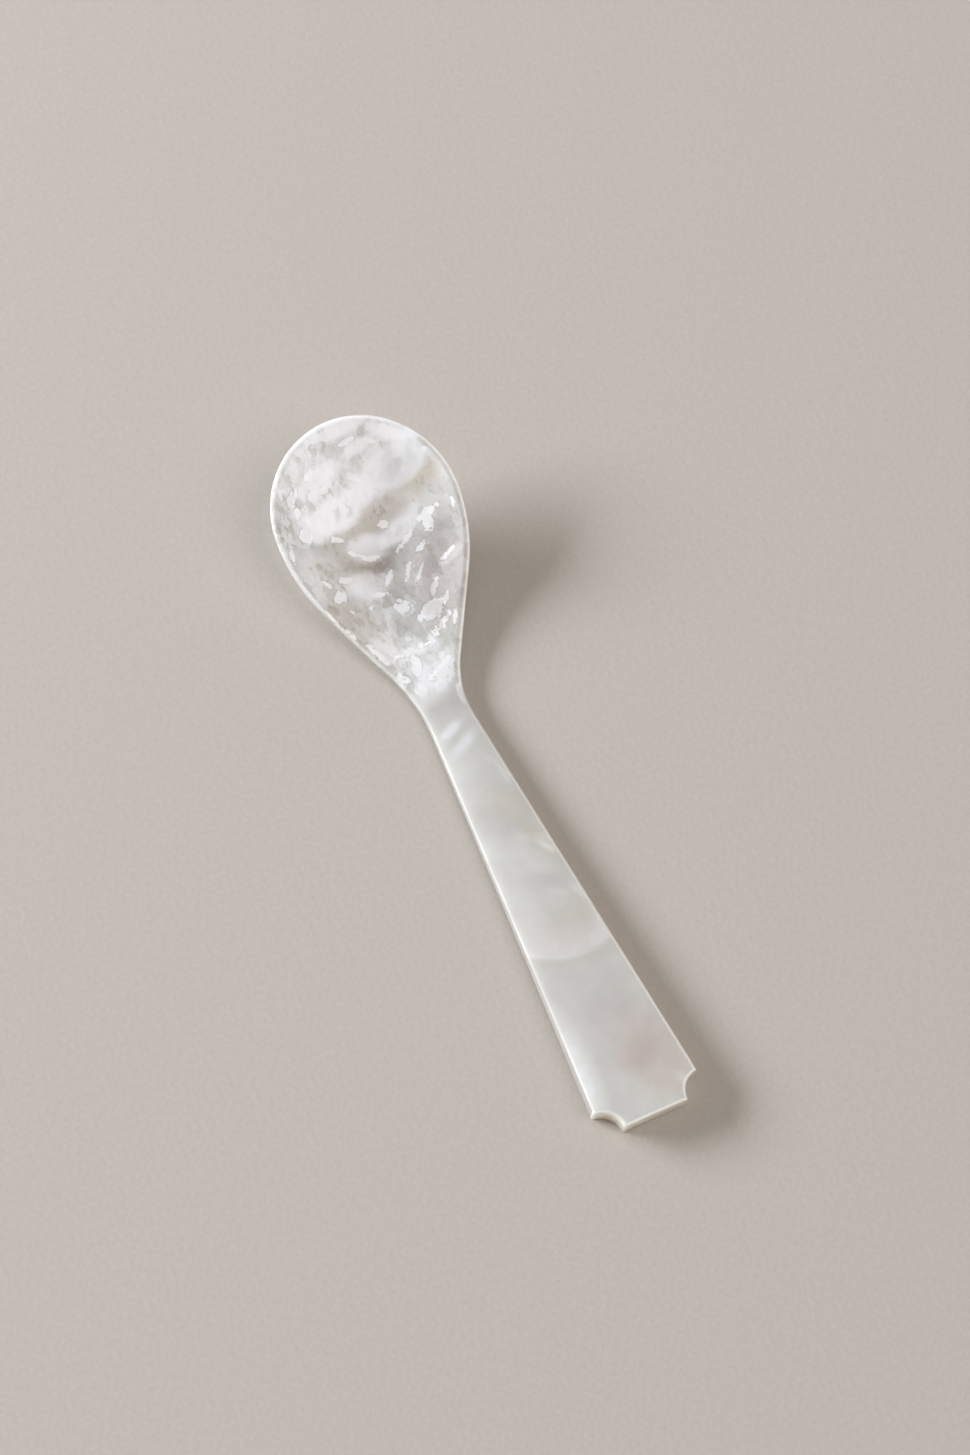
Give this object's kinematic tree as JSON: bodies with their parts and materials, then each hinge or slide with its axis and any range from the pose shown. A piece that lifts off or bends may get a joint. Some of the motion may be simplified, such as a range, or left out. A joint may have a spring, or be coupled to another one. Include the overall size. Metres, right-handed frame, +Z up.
{
  "type": "caviar spoon",
  "caption": "One-piece mother-of-pearl caviar spoon: flat handle widening to a squared end with scooped corners, slim neck, shallow egg-shaped bowl.",
  "frame": {"origin": "on the table, in the middle of the spoon's footprint", "axes": "+X along the handle to the tip of the bowl, +Y to the left seen from the handle, +Z up"},
  "size_m": [0.1198, 0.0306, 0.011],
  "materials": {
    "nacre": "polished mother-of-pearl"
  },
  "bodies": {
    "root": {"spoon": "nacre"}
  },
  "joints": []
}
